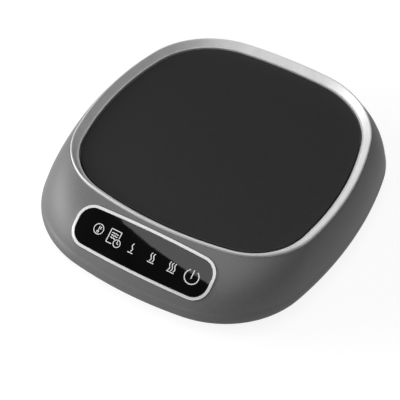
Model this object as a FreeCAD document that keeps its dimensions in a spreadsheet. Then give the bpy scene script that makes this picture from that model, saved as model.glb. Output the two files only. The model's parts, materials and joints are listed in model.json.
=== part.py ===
import FreeCAD, Part
import math
import os
import Sketcher

# Electric mug warmer, parametric model in millimetres.
# +Z is up, the control panel faces -Y, the origin is the middle of the footprint at floor level.
# A square-ish plate with bowed sides sits in a bright ring on a sloping silver housing.
# Every flat outline is eight tangent arcs: four wide bows and four corners.

# Driving sizes
SIZES = {
    "shell_width": 122.5,
    "shell_depth": 136.5,
    "shell_front_bow": 150.0,
    "shell_back_bow": 140.0,
    "shell_side_bow": 175.0,
    "shell_side_centre": 7.7,
    "shell_front_corner": 40.0,
    "shell_back_corner": 35.0,
    "plate_width": 100.0,
    "plate_depth": 103.0,
    "plate_setback": 7.2,
    "plate_front_bow": 135.0,
    "plate_back_bow": 180.0,
    "plate_side_bow": 120.0,
    "plate_side_centre": 3.7,
    "plate_front_corner": 25.0,
    "plate_back_corner": 32.0,
    # heights above the floor
    "plate_top": 24.0,
    "crest_rise": 2.4,
    "deck_top": 25.3,
    "deck_bulge_height": 19.0,
    "deck_bulge_reach": 0.78,
    "belt_height": 8.6,
    "shoulder_height": 10.5,
    "shoulder_reach": 0.975,
    # turned-under band: how far the hem is drawn in under the crease
    "front_tuck": 5.0,
    "side_tuck": 2.2,
    "back_tuck": 0.7,
    "lower_tuck": 0.55,
    "lower_height": 6.2,
    "skirt_hem_height": 3.8,
    "hem_height": 2.0,
    # housing wall: how far the inside is set in and down from the outside
    "wall_in": 1.7,
    "wall_down": 1.2,
    # ring, seal and collar, measured outward from the plate outline
    "plate_gap": 0.7,
    "lip_width": 0.7,
    "flare_width": 2.2,
    "crest_width": 0.7,
    "front_pinch": 0.9,
    "deck_seam": 0.35,
    "ring_neck": 2.9,
    "ring_fit": 0.1,
    "crest_round": 0.4,
    "ledge_reach": 1.7,
    "ledge_thickness": 1.2,
    "ring_neck_depth": 2.9,
    "collar_reach": 6.0,
    "collar_depth": 2.4,
    "seal_thickness": 0.6,
    "seal_inner": 0.3,
    "flange_reach": 2.6,
    "flange_thickness": 1.2,
    "plate_skin": 3.0,
    "plate_rim": 5.0,
    "plate_edge_round": 0.4,
    # heater stack under the plate
    "heater_thickness": 0.8,
    "insulation_thickness": 2.0,
    "clamp_thickness": 1.0,
    "stack_clearance": 0.3,
    "stud_radius": 3.0,
    "stud_hole_clearance": 0.3,
    "stud_spread": 22.0,
    # plate carrier
    "carrier_thickness": 2.4,
    "carrier_rim": 4.6,
    "lug_radius": 4.0,
    "lug_front_side": 37.0,
    "lug_front": -32.0,
    "lug_back": 43.0,
    "post_height": 12.0,
    # base and feet
    "base_thickness": 2.4,
    "base_fit": 0.2,
    "foot_radius": 6.0,
    "foot_recess": 0.8,
    "foot_fit": 0.1,
    "foot_side": 30.0,
    "foot_front": -49.0,
    "foot_back": 50.0,
    "foot_chamfer": 0.5,
    "vent_width": 2.0,
    "vent_length": 14.0,
    "vent_pitch": 5.0,
    "vent_rows": 22.0,
    "boss_radius": 3.1,
    "boss_top": 21.0,
    "boss_front_side": 43.0,
    "boss_front": -42.0,
    "boss_back_side": 42.5,
    "boss_back": 52.3,
    # three millimetre screws, and the small two millimetre ones
    "screw_radius": 1.5,
    "screw_head_radius": 2.8,
    "screw_head_height": 1.4,
    "screw_clearance": 0.15,
    "head_clearance": 0.3,
    "screw_bite": 6.0,
    "pilot_grip": 0.05,
    "thread_gap": 0.1,
    "slot_width": 0.6,
    "small_screw_radius": 1.0,
    "small_head_radius": 1.9,
    "small_head_height": 1.1,
    # control panel on the tilted front deck
    "panel_tilt": 36.4,
    "panel_setback": 0.3,
    "panel_width": 57.8,
    "panel_height": 17.6,
    "panel_long_bow": 500.0,
    "panel_end_bow": 60.0,
    "panel_corner": 6.7,
    "panel_sink": 0.53,
    "frame_width": 1.25,
    "frame_proud": 0.2,
    "lens_proud": 0.08,
    "lens_depth": 0.9,
    "frame_depth": 1.5,
    "frame_step": 1.0,
    "panel_fit": 0.18,
    "window_depth": 3.1,
    "key_pitch": 7.9,
    "key_line": -0.8,
    "key_middle": 1.2,
    "guide_length": 50.0,
    "guide_width": 6.6,
    "guide_layer": 1.06,
    "pad_layer": 0.94,
    "well_radius": 1.7,
    "pad_radius": 2.6,
    "led_size": 1.6,
    "led_height": 0.8,
    "control_board_length": 66.6,
    "control_board_width": 9.8,
    "control_board_drop": 1.5,
    "control_board_depth": 4.3,
    "control_board_thickness": 1.2,
    "panel_post_inset": 2.0,
    "board_relief_gap": 0.15,
    "panel_post_radius": 1.9,
    "chip_length": 7.0,
    "chip_width": 5.0,
    "chip_height": 1.2,
    "chip_side": -9.0,
    "connector_length": 9.0,
    "connector_width": 4.0,
    "connector_depth": 3.0,
    "connector_side": 12.0,
    "ribbon_half_width": 3.5,
    "ribbon_half_thickness": 0.4,
    # power board
    "power_board_length": 58.0,
    "power_board_width": 60.0,
    "power_board_y": 8.0,
    "power_board_z": 7.0,
    "power_board_thickness": 1.4,
    "board_post_inset": 4.0,
    "board_post_radius": 2.5,
    "board_pilot_depth": 3.0,
    "board_hole_clearance": 0.1,
    "header_setback": 25.0,
    "header_height": 3.4,
    "terminal_port_radius": 1.3,
    "terminal_port_depth": 5.0,
    "terminal_port_height": 3.0,
    "choke_radius": 4.0,
    "choke_wire_radius": 2.0,
    "choke_across": 17.0,
    "choke_along": -16.0,
    # tabs, leads and heat sensors under the plate
    "tab_middle": 10.0,
    "tab_side": 7.0,
    "tab_setback": 31.0,
    "tab_width": 3.0,
    "tab_thickness": 0.8,
    "tab_drop": 2.6,
    "tab_slot_width": 4.0,
    "tab_slot_depth": 1.8,
    "lead_radius": 1.0,
    "lead_bend": 2.5,
    "fuse_radius": 1.6,
    "fuse_length": 9.0,
    "fuse_setback": 8.0,
    "strap_width": 5.0,
    "strap_length": 11.0,
    "strap_thickness": 0.7,
    "strap_gap": 0.1,
    "bead_radius": 1.2,
    "bead_height": 2.2,
    "sensor_lug_radius": 2.6,
    "sensor_lug_height": 0.8,
    "sensor_setback": 4.0,
    # cord gland in the rear wall
    "gland_height": 9.7,
    "gland_bore": 2.5,
    "gland_neck": 3.6,
    "gland_flange": 4.6,
    "gland_face_y": 67.6,
    "gland_length": 6.0,
    "gland_flange_thickness": 1.2,
    "gland_fit": 0.1,
    "pad_depth": 3.6,
}
# Parts on the power board: length, width, height, and their middle from the board's middle
BOARD_PARTS = {
    "transformer_core": (16.0, 14.0, 5.6, -12.0, 6.0),
    "transformer_bobbin": (12.0, 18.0, 4.6, -12.0, 6.0),
    "terminal_blank": (18.0, 8.0, 6.0, 10.0, 20.0),
    "triac_case": (10.0, 9.0, 4.0, 17.0, -2.0),
    "triac_tab": (10.0, 14.0, 1.2, 17.0, 0.0),
    "film_capacitor": (13.0, 5.0, 6.0, 10.0, 10.0),
    "smoothing_capacitor": (13.0, 6.0, 6.0, -12.0, -12.0),
    "mains_fuse": (20.0, 5.2, 5.2, -12.0, -21.0),
}
for part_name, numbers in BOARD_PARTS.items():
    for word, number in zip(("length", "width", "height", "across", "along"), numbers):
        SIZES[f"{part_name}_{word}"] = number

STATION_STEPS = (0.0, 0.25, 0.5, 0.75)
CREASE_STEP = 0.84
PANEL_STEP = 0.308
KEYS = 6
VENTS = 7
HALF = 0.5
SLOT_SHARE = 1.4

doc = FreeCAD.newDocument("MugWarmer")
sheet = doc.addObject("Spreadsheet::Sheet", "Sizes")
for row, (alias, number) in enumerate(SIZES.items(), start=1):
    sheet.set(f"A{row}", str(number))
    sheet.setAlias(f"A{row}", alias)
doc.recompute()


class Size:
    """A number together with the sheet expression that gives it."""

    def __init__(self, value, text):
        self.value = value
        self.text = text

    def __add__(self, other):
        other = size(other)
        return Size(self.value + other.value, f"({self.text} + {other.text})")

    def __sub__(self, other):
        other = size(other)
        return Size(self.value - other.value, f"({self.text} - {other.text})")

    def __mul__(self, other):
        other = size(other)
        return Size(self.value * other.value, f"({self.text} * {other.text})")

    def __neg__(self):
        return Size(-self.value, f"(0 - {self.text})")

    def __radd__(self, other):
        return size(other) + self

    def __rsub__(self, other):
        return size(other) - self

    def __rmul__(self, other):
        return size(other) * self


def size(thing):
    """A size from an alias of the sheet, a plain number or a size."""
    if isinstance(thing, Size):
        return thing
    if isinstance(thing, str):
        return Size(SIZES[thing], f"Sizes.{thing}")
    return Size(float(thing), f"({float(thing)})")


def cos_of(alias):
    return Size(math.cos(math.radians(SIZES[alias])), f"cos(Sizes.{alias})")


def sin_of(alias):
    return Size(math.sin(math.radians(SIZES[alias])), f"sin(Sizes.{alias})")


def bind(item, prop, amount):
    """Give a property the size, and tie it to the sheet."""
    item.setExpression(prop, size(amount).text)


def place(item, x=0, y=0, z=0, axis=None, angle=0):
    """Put an item at bound coordinates, turned about an axis if one is given."""
    turn = FreeCAD.Rotation()
    if axis is not None:
        turn = FreeCAD.Rotation(FreeCAD.Vector(*axis), size(angle).value)
    spot = FreeCAD.Vector(size(x).value, size(y).value, size(z).value)
    item.Placement = FreeCAD.Placement(spot, turn)
    bind(item, "Placement.Base.x", x)
    bind(item, "Placement.Base.y", y)
    bind(item, "Placement.Base.z", z)
    if isinstance(angle, str):
        bind(item, "Placement.Rotation.Angle", angle)
    return item


# Plain solids and booleans
def cylinder(name, radius, height, x=0, y=0, z=0, axis=None, angle=0):
    item = doc.addObject("Part::Cylinder", name)
    bind(item, "Radius", radius)
    bind(item, "Height", height)
    return place(item, x, y, z, axis, angle)


def box(name, length, width, height, x=0, y=0, z=0):
    """A box centred on x and y, standing on z."""
    item = doc.addObject("Part::Box", name)
    bind(item, "Length", length)
    bind(item, "Width", width)
    bind(item, "Height", height)
    return place(item, x - size(length) * HALF, y - size(width) * HALF, z)


def fuse(name, pieces):
    item = doc.addObject("Part::MultiFuse", name)
    item.Shapes = pieces
    return item


def common(name, first, second):
    item = doc.addObject("Part::Common", name)
    item.Base = first
    item.Tool = second
    return item


def cut(name, base, tools):
    """The base with every tool taken away."""
    item = doc.addObject("Part::Cut", name)
    item.Base = base
    item.Tool = tools[0] if len(tools) == 1 else fuse(f"{name}_tools", tools)
    return item


def copies(name, maker, spots):
    """The same solid at several spots, kept together as one group."""
    return group(name, [maker(f"{name}_{index}", x, y) for index, (x, y) in enumerate(spots)])


def group(name, pieces):
    item = doc.addObject("Part::Compound", name)
    item.Links = pieces
    return item


# Outlines of eight tangent arcs
class Outline:
    """Half width, reach to the front and back, bow radii and corner radii of an outline."""

    def __init__(self, half, front, back, bows, side_centre, corners):
        self.half = half
        self.front = front
        self.back = back
        self.bows = bows
        self.side_centre = side_centre
        self.corners = corners

    def grown(self, by):
        """The same outline moved outward by a distance, with every centre kept."""
        bows = [bow + by for bow in self.bows]
        corners = [corner + by for corner in self.corners]
        return Outline(self.half + by, self.front + by, self.back + by, bows, self.side_centre, corners)

    def mixed(self, other, share):
        """An outline between this one and another."""
        def mix(mine, theirs):
            return mine * (1 - share) + theirs * share
        bows = [mix(mine, theirs) for mine, theirs in zip(self.bows, other.bows)]
        corners = [mix(mine, theirs) for mine, theirs in zip(self.corners, other.corners)]
        return Outline(mix(self.half, other.half), mix(self.front, other.front), mix(self.back, other.back),
                       bows, mix(self.side_centre, other.side_centre), corners)


def plate_outline():
    half_depth = size("plate_depth") * HALF
    bows = [size("plate_front_bow"), size("plate_side_bow"), size("plate_back_bow")]
    corners = [size("plate_front_corner"), size("plate_back_corner")]
    return Outline(size("plate_width") * HALF, half_depth - "plate_setback", half_depth + "plate_setback",
                   bows, size("plate_side_centre"), corners)


def shell_outline():
    half_depth = size("shell_depth") * HALF
    bows = [size("shell_front_bow"), size("shell_side_bow"), size("shell_back_bow")]
    corners = [size("shell_front_corner"), size("shell_back_corner")]
    return Outline(size("shell_width") * HALF, half_depth, half_depth, bows,
                   size("shell_side_centre"), corners)


def panel_outline():
    half_height = size("panel_height") * HALF
    bows = [size("panel_long_bow"), size("panel_end_bow"), size("panel_long_bow")]
    corners = [size("panel_corner"), size("panel_corner")]
    return Outline(size("panel_width") * HALF, half_height, half_height, bows, size(0), corners)


def corner_centre(first, first_radius, second, second_radius, side):
    """Where a corner circle touches two bows from inside: the crossing of two circles about their centres."""
    gap = second - first
    reach = gap.Length
    along = (reach ** 2 + first_radius ** 2 - second_radius ** 2) / (2 * reach)
    away = math.sqrt(first_radius ** 2 - along ** 2)
    ahead = gap / reach
    aside = FreeCAD.Vector(-ahead.y, ahead.x, 0)
    spots = [first + ahead * along + aside * away, first + ahead * along - aside * away]
    return max(spots, key=lambda spot: spot.x + side * spot.y)


def arc_between(centre, radius, start, end):
    """An arc that runs anticlockwise from the direction of one point to that of another."""
    first = math.atan2(start.y - centre.y, start.x - centre.x)
    last = math.atan2(end.y - centre.y, end.x - centre.x)
    if last < first:
        last += 2 * math.pi
    return Part.ArcOfCircle(Part.Circle(centre, FreeCAD.Vector(0, 0, 1), radius), first, last)


def beyond(centre, point):
    """A point on the ray from a centre through a point, past it."""
    return centre + (point - centre) * 2


def arcs_of(outline):
    """The eight arcs, anticlockwise from the front bow."""
    front_bow, side_bow, back_bow = [bow.value for bow in outline.bows]
    front_corner, back_corner = [corner.value for corner in outline.corners]
    front = FreeCAD.Vector(0, front_bow - outline.front.value, 0)
    back = FreeCAD.Vector(0, outline.back.value - back_bow, 0)
    right = FreeCAD.Vector(outline.half.value - side_bow, outline.side_centre.value, 0)
    near = corner_centre(front, front_bow - front_corner, right, side_bow - front_corner, -1)
    far = corner_centre(back, back_bow - back_corner, right, side_bow - back_corner, 1)

    def mirrored(point):
        return FreeCAD.Vector(-point.x, point.y, 0)

    near_left, far_left, left = mirrored(near), mirrored(far), mirrored(right)
    return [
        arc_between(front, front_bow, beyond(front, near_left), beyond(front, near)),
        arc_between(near, front_corner, beyond(front, near), beyond(right, near)),
        arc_between(right, side_bow, beyond(right, near), beyond(right, far)),
        arc_between(far, back_corner, beyond(right, far), beyond(back, far)),
        arc_between(back, back_bow, beyond(back, far), beyond(back, far_left)),
        arc_between(far_left, back_corner, beyond(back, far_left), beyond(left, far_left)),
        arc_between(left, side_bow, beyond(left, far_left), beyond(left, near_left)),
        arc_between(near_left, front_corner, beyond(left, near_left), beyond(front, near_left)),
    ]


def tie(sketch, kind, *parts):
    """A sketch constraint whose last part is a size, tied to the sheet."""
    amount = size(parts[-1])
    index = sketch.addConstraint(Sketcher.Constraint(kind, *parts[:-1], amount.value))
    sketch.setExpression(f"Constraints[{index}]", amount.text)


def tie_across(sketch, kind, geometry, amount):
    """Ties an arc's centre to the axes, with the distance kept positive."""
    amount = size(amount)
    if abs(amount.value) < 1e-9:
        line = -1 if kind == "DistanceY" else -2
        sketch.addConstraint(Sketcher.Constraint("PointOnObject", geometry, 3, line))
    elif amount.value > 0:
        tie(sketch, kind, -1, 1, geometry, 3, amount)
    else:
        tie(sketch, kind, geometry, 3, -1, 1, -amount)


def draw_outline(sketch, outline):
    """Eight tangent arcs in a sketch, with centres and radii tied to the sheet."""
    sketch.addGeometry(arcs_of(outline), False)
    for index in range(8):
        following = (index + 1) % 8
        sketch.addConstraint(Sketcher.Constraint("Tangent", index, 2, following, 1))
    front, side, back = outline.bows
    tie(sketch, "Radius", 0, front)
    tie(sketch, "Radius", 2, side)
    tie(sketch, "Radius", 4, back)
    tie(sketch, "Radius", 6, side)
    tie(sketch, "Radius", 1, outline.corners[0])
    tie(sketch, "Radius", 3, outline.corners[1])
    tie(sketch, "Radius", 5, outline.corners[1])
    tie(sketch, "Radius", 7, outline.corners[0])
    tie_across(sketch, "DistanceX", 0, 0)
    tie_across(sketch, "DistanceY", 0, front - outline.front)
    tie_across(sketch, "DistanceX", 4, 0)
    tie_across(sketch, "DistanceY", 4, outline.back - back)
    tie_across(sketch, "DistanceX", 2, outline.half - side)
    tie_across(sketch, "DistanceY", 2, outline.side_centre)
    tie_across(sketch, "DistanceX", 6, side - outline.half)
    tie_across(sketch, "DistanceY", 6, outline.side_centre)


def free_sketch(name, outline, z):
    """An outline on a level plane."""
    sketch = doc.addObject("Sketcher::SketchObject", name)
    draw_outline(sketch, outline)
    place(sketch, 0, 0, z)
    return sketch


def prism(name, outline, bottom, top):
    """An upright prism of an outline between two heights."""
    item = doc.addObject("Part::Extrusion", name)
    item.Base = free_sketch(f"{name}_outline", outline, bottom)
    item.DirMode = "Normal"
    item.Solid = True
    bind(item, "LengthFwd", size(top) - bottom)
    return item


def loft(name, sections):
    """A smooth solid through outlines at their heights."""
    item = doc.addObject("Part::Loft", name)
    item.Sections = [free_sketch(f"{name}_{index}", outline, z)
                     for index, (outline, z) in enumerate(sections)]
    item.Solid = True
    item.Ruled = False
    return item


PLATE = plate_outline()
SHELL = shell_outline()
LIP = size("plate_gap") + "lip_width"
CREST_IN = LIP + "flare_width"
CREST_OUT = CREST_IN + "crest_width"


def pinched(by):
    """The plate's outline moved outward, but less so at the front, where the ring is narrower."""
    wide = PLATE.grown(by)
    front = wide.front - "front_pinch"
    return Outline(wide.half, front, wide.back, wide.bows, wide.side_centre, wide.corners)


def tucked(share):
    """The shell's outline drawn in by a share of the tuck, most at the front and least at the back."""
    front, side, back = size("front_tuck") * share, size("side_tuck") * share, size("back_tuck") * share
    bows = [SHELL.bows[0] - front, SHELL.bows[1] - side, SHELL.bows[2] - back]
    corners = [corner - side for corner in SHELL.corners]
    return Outline(SHELL.half - side, SHELL.front - front, SHELL.back - back, bows,
                   SHELL.side_centre, corners)


DECK_EDGE = pinched(CREST_OUT + "deck_seam")
BORE = size("ring_neck") + "ring_fit"


# Skirt of the housing
def deck_curve(step):
    """Share of the way from the ring to the belt, and the height there, on a quadratic curve."""
    share = size("deck_bulge_reach") * (2 * step * (1 - step)) + step ** 2
    height = (size("deck_top") * (1 - step) ** 2 + size("deck_bulge_height") * (2 * step * (1 - step))
              + size("belt_height") * step ** 2)
    return share, height


def deck_station(step, layer):
    """Outline and height on the deck's curve, a number of wall thicknesses under the skin."""
    share, height = deck_curve(step)
    outline = DECK_EDGE.mixed(SHELL, share).grown(size("wall_in") * layer * -1)
    return outline, height - size("wall_down") * layer


def deck_solid(name, layer):
    """The solid under the deck's curve, down to the crease."""
    steps = STATION_STEPS + (CREASE_STEP,)
    return loft(name, [deck_station(step, layer) for step in steps])


def band_solid(name, layer, stations):
    """The turned-under side band from the crease down, through outlines at their heights."""
    inset = size("wall_in") * layer * -1
    sections = [(outline.grown(inset), size(height)) for outline, height in stations]
    return loft(name, [deck_station(CREASE_STEP, layer)] + sections)


PANEL_SHARE, PANEL_HEIGHT = deck_curve(PANEL_STEP)
PANEL_Y = DECK_EDGE.mixed(SHELL, PANEL_SHARE).front * -1
PANEL_Z = PANEL_HEIGHT - "panel_sink"


def tilted(item, x=0, slope=0, depth=0):
    """Place an item in the panel's plane: x across, slope upward along it, depth outward."""
    centre_slope = size(slope) - "panel_setback"
    y = PANEL_Y + centre_slope * cos_of("panel_tilt") - size(depth) * sin_of("panel_tilt")
    z = PANEL_Z + centre_slope * sin_of("panel_tilt") + size(depth) * cos_of("panel_tilt")
    return place(item, x, y, z, (1, 0, 0), "panel_tilt")


def panel_prism(name, outline, inner_depth, outer_depth):
    """A prism square to the panel's plane."""
    item = doc.addObject("Part::Extrusion", name)
    sketch = doc.addObject("Sketcher::SketchObject", f"{name}_outline")
    draw_outline(sketch, outline)
    tilted(sketch)
    item.Base = sketch
    item.DirMode = "Normal"
    item.Solid = True
    bind(item, "LengthFwd", outer_depth)
    bind(item, "LengthRev", inner_depth)
    return item


PANEL = panel_outline()
LENS = PANEL.grown(size("frame_width") * -1)
ABOVE_DECK = 6
STOCK = 1
HEM_OVERRUN = 1.15

# Heights worked out from the plate down
CREST = size("plate_top") + "crest_rise"
NECK_BOTTOM = size("deck_top") - "ring_neck_depth"
LEDGE_BOTTOM = NECK_BOTTOM - "ledge_thickness"
FLANGE_TOP = LEDGE_BOTTOM - "seal_thickness"
PLATE_BOTTOM = FLANGE_TOP - "flange_thickness"
HEATER_TOP = size("plate_top") - "plate_skin"
HEATER_BOTTOM = HEATER_TOP - "heater_thickness"
INSULATION_BOTTOM = HEATER_BOTTOM - "insulation_thickness"
CLAMP_BOTTOM = INSULATION_BOTTOM - "clamp_thickness"
CARRIER_BOTTOM = PLATE_BOTTOM - "carrier_thickness"
COLLAR_BOTTOM = LEDGE_BOTTOM - size("collar_depth") * HALF
BASE_TOP = size("hem_height") + "base_thickness"
BOARD_TOP = size("power_board_z") + "power_board_thickness"

BOSS_SPOTS = [(size("boss_front_side") * side, size("boss_front")) for side in (-1, 1)]
BOSS_SPOTS += [(size("boss_back_side") * side, size("boss_back")) for side in (-1, 1)]
LUG_SPOTS = [(size("lug_front_side") * side, size(end))
             for side in (-1, 1) for end in ("lug_front", "lug_back")]
STUD_SPOTS = [(size("stud_spread") * side, size("plate_setback") + size("stud_spread") * end)
              for side in (-1, 1) for end in (-1, 1)]
BOARD_POST_SPOTS = [((size("power_board_length") * HALF - "board_post_inset") * side,
                     size("power_board_y") + (size("power_board_width") * HALF - "board_post_inset") * end)
                    for side in (-1, 1) for end in (-1, 1)]
PILOT = size("screw_radius") - "pilot_grip"


def top_housing():
    """Silver housing: sloping deck, side band, collar for the ring, screw bosses and panel window."""
    shoulder = DECK_EDGE.mixed(SHELL, size("shoulder_reach"))
    lower = tucked(size("lower_tuck"))
    belt = [(shoulder, "shoulder_height"), (SHELL, "belt_height"), (lower, "lower_height"),
            (tucked(1), "skirt_hem_height")]
    inner_belt = [(SHELL, "belt_height"), (lower, "lower_height"),
                  (tucked(HEM_OVERRUN), size("skirt_hem_height") - STOCK)]
    skin = fuse("housing_skin", [deck_solid("outer_deck", 0), band_solid("outer_band", 0, belt)])
    hollow = fuse("housing_hollow", [deck_solid("inner_deck", 1), band_solid("inner_band", 1, inner_belt)])
    collar = common("collar", prism("collar_blank", PLATE.grown(size("collar_reach")), COLLAR_BOTTOM,
                                    size("deck_top")), skin)
    blanks = [cylinder(f"boss_blank_{index}", "boss_radius", size("boss_top") - BASE_TOP, x, y, BASE_TOP)
              for index, (x, y) in enumerate(BOSS_SPOTS)]
    pad = box("gland_pad", size("gland_flange") * 2 + 2, size("pad_depth") * 2, size("gland_flange") * 2 + 1,
              0, size("shell_depth") * HALF, size("gland_height") - size("gland_flange") - HALF)
    added = common("housing_inside", fuse("housing_inside_blanks", blanks + [pad] + panel_posts()), skin)
    walls = cut("housing_walls", skin, [hollow])
    whole = fuse("housing_whole", [walls, collar, added])
    tools = [
        prism("ring_bore", PLATE.grown(BORE), NECK_BOTTOM, CREST + STOCK),
        prism("ledge_bore", PLATE.grown(size("ledge_reach")), LEDGE_BOTTOM - STOCK, NECK_BOTTOM + STOCK),
        prism("flange_bore", PLATE.grown(BORE), COLLAR_BOTTOM - STOCK, LEDGE_BOTTOM),
        panel_prism("panel_window", PANEL.grown(size("panel_fit")), "window_depth", ABOVE_DECK),
        cylinder("gland_recess", size("gland_flange") + "gland_fit", "gland_flange", 0,
                 size("gland_face_y") - "gland_flange_thickness" + size("gland_flange"), "gland_height",
                 (1, 0, 0), 90),
        cylinder("gland_hole", size("gland_neck") + "gland_fit", size("gland_length") * 2, 0,
                 size("gland_face_y") + "gland_length", "gland_height", (1, 0, 0), 90),
    ]
    tools += [cylinder(f"boss_pilot_{index}", PILOT, size("screw_bite") + STOCK, x, y, BASE_TOP - STOCK)
              for index, (x, y) in enumerate(BOSS_SPOTS)]
    return cut("top_housing", whole, tools + [board_relief()])


def panel_posts():
    """Two posts square to the panel, from the control board up into the deck."""
    posts = []
    for index, side in enumerate((-1, 1)):
        post = doc.addObject("Part::Cylinder", f"panel_post_{index}")
        bind(post, "Radius", "panel_post_radius")
        bind(post, "Height", size("control_board_depth") - size("wall_down") * HALF)
        posts.append(tilted(post, POST_SIDE * side, size("control_board_drop") * -1,
                            size("control_board_depth") * -1))
    return posts


def board_relief():
    """Room in the housing for the control board and the screw heads behind it."""
    room = size("board_relief_gap") * 2
    depth = size("control_board_thickness") + "small_head_height" + "board_relief_gap"
    return tilted_box("board_relief", size("control_board_length") + room, size("control_board_width") + room,
                      depth, 0, size("control_board_drop") * -1, BOARD_FACE - depth)


def new_body(name):
    return doc.addObject("PartDesign::Body", name)


def body_sketch(body, name, z):
    """A sketch on the body's own level plane, raised to a bound height."""
    sketch = body.newObject("Sketcher::SketchObject", name)
    level = [plane for plane in body.Origin.OriginFeatures if plane.Role == "XY_Plane"][0]
    sketch.AttachmentSupport = (level, "")
    sketch.MapMode = "FlatFace"
    sketch.AttachmentOffset = FreeCAD.Placement(FreeCAD.Vector(0, 0, size(z).value), FreeCAD.Rotation())
    bind(sketch, "AttachmentOffset.Base.z", z)
    return sketch


def add_circle(sketch, radius, x=0, y=0):
    spot = FreeCAD.Vector(size(x).value, size(y).value, 0)
    index = sketch.addGeometry(Part.Circle(spot, FreeCAD.Vector(0, 0, 1), size(radius).value), False)
    tie(sketch, "Radius", index, size(radius))
    tie_across(sketch, "DistanceX", index, x)
    tie_across(sketch, "DistanceY", index, y)


def body_pad(body, name, sketch, length):
    pad = body.newObject("PartDesign::Pad", name)
    pad.Profile = sketch
    pad.Length = size(length).value
    bind(pad, "Length", length)
    return pad


def body_pocket(body, name, sketch, length, upward=False):
    """Cuts down from the sketch, or up from it."""
    pocket = body.newObject("PartDesign::Pocket", name)
    pocket.Profile = sketch
    pocket.Reversed = upward
    pocket.Length = size(length).value
    bind(pocket, "Length", length)
    return pocket


def plate_layer(name, grow, bottom, top, hole_radius=None, hole_spots=()):
    """A flat layer with the plate's outline, with round holes through it."""
    body = new_body(name)
    sketch = body_sketch(body, f"{name}_outline", bottom)
    draw_outline(sketch, PLATE.grown(size(grow)))
    for x, y in hole_spots:
        add_circle(sketch, hole_radius, x, y)
    body_pad(body, f"{name}_pad", sketch, size(top) - bottom)
    return body


def plate_frame(name, outer, inner, bottom, top):
    """A flat ring between two outlines round the plate."""
    body = new_body(name)
    sketch = body_sketch(body, f"{name}_outer", bottom)
    draw_outline(sketch, PLATE.grown(size(outer)))
    body_pad(body, f"{name}_pad", sketch, size(top) - bottom)
    hole = body_sketch(body, f"{name}_inner", top)
    draw_outline(hole, PLATE.grown(size(inner)))
    body_pocket(body, f"{name}_hole", hole, size(top) - bottom)
    return body


def heating_plate():
    """Cast plate: flat top with a rounded edge, a flange under the ledge and a heater pocket."""
    blank = fuse("plate_blank", [prism("plate_upper", PLATE, PLATE_BOTTOM, size("plate_top")),
                                 prism("plate_flange", PLATE.grown(size("flange_reach")), PLATE_BOTTOM,
                                       FLANGE_TOP)])
    pocket = prism("heater_pocket", PLATE.grown(size("plate_rim") * -1), PLATE_BOTTOM - STOCK, HEATER_TOP)
    studs = [cylinder(f"plate_stud_{index}", "stud_radius", HEATER_TOP - INSULATION_BOTTOM + HALF, x, y,
                      INSULATION_BOTTOM) for index, (x, y) in enumerate(STUD_SPOTS)]
    cast = fuse("plate_cast", [cut("plate_cup", blank, [pocket])] + studs)
    pilots = [cylinder(f"stud_pilot_{index}", PILOT, HEATER_TOP - INSULATION_BOTTOM, x, y, INSULATION_BOTTOM)
              for index, (x, y) in enumerate(STUD_SPOTS)]
    drilled = cut("plate_drilled", cast, pilots)
    return round_top_edges("heating_plate", drilled, "plate_top", "plate_edge_round")


def round_top_edges(name, base, height, radius):
    """Rounds the edges that lie at a height."""
    doc.recompute()
    level = size(height).value
    item = doc.addObject("Part::Fillet", name)
    item.Base = base
    chosen = []
    for index, edge in enumerate(base.Shape.Edges, start=1):
        bounds = edge.BoundBox
        if abs(bounds.ZMin - level) < 1e-4 and abs(bounds.ZMax - level) < 1e-4:
            chosen.append((index, size(radius).value, size(radius).value))
    item.Edges = chosen
    return item


def bezel_ring():
    """Bright ring: lip beside the plate, flared wall up to a rounded crest, neck down into the housing."""
    blank = fuse("ring_blank", [prism("ring_neck", PLATE.grown(size("ring_neck")), NECK_BOTTOM, CREST - HALF),
                                prism("ring_flange", pinched(CREST_OUT), size("deck_top"), CREST)])
    flare = loft("ring_flare", [(PLATE.grown(LIP), size("plate_top")), (pinched(CREST_IN), CREST)])
    hole = prism("ring_hole", PLATE.grown(size("plate_gap")), NECK_BOTTOM - STOCK, CREST)
    turned = cut("ring_turned", blank, [flare, hole])
    doc.recompute()
    return round_top_edges("bezel_ring", turned, CREST, "crest_round")


def plate_carrier():
    """Heat-proof frame under the plate's flange, on four lugs."""
    frame = cut("carrier_frame", prism("carrier_blank", PLATE.grown(size("flange_reach")), CARRIER_BOTTOM,
                                       PLATE_BOTTOM),
                [prism("carrier_hole", PLATE.grown(size("carrier_rim") * -1), CARRIER_BOTTOM - STOCK,
                       PLATE_BOTTOM + STOCK)])
    lugs = [cylinder(f"carrier_lug_{index}", "lug_radius", CARRIER_BOTTOM - "post_height" + HALF, x, y,
                     "post_height") for index, (x, y) in enumerate(LUG_SPOTS)]
    whole = fuse("carrier_whole", [frame] + lugs)
    pilots = [cylinder(f"carrier_pilot_{index}", PILOT, "screw_bite", x, y, "post_height")
              for index, (x, y) in enumerate(LUG_SPOTS)]
    return cut("plate_carrier", whole, [fuse("carrier_pilots", pilots)])


def screw(name, x, y, z, bite, radius="screw_radius", head_radius="screw_head_radius",
          head_height="screw_head_height"):
    """A screw put in from below: its head hangs under z and its shank bites upward."""
    shank = cylinder(f"{name}_shank", size(radius) - "thread_gap", size(bite) + HALF, 0, 0, -HALF)
    head = cylinder(f"{name}_head", head_radius, head_height, 0, 0, size(head_height) * -1)
    slot = box(f"{name}_slot", size(head_radius) * SLOT_SHARE, "slot_width", "slot_width", 0, 0,
               size(head_height) * -1)
    item = cut(name, fuse(f"{name}_blank", [shank, head]), [slot])
    return place(item, x, y, z)


def clamp_screws():
    def one(name, x, y):
        return screw(name, x, y, CLAMP_BOTTOM, size("clamp_thickness") + 2)
    return copies("clamp_screws", one, STUD_SPOTS)


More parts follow.
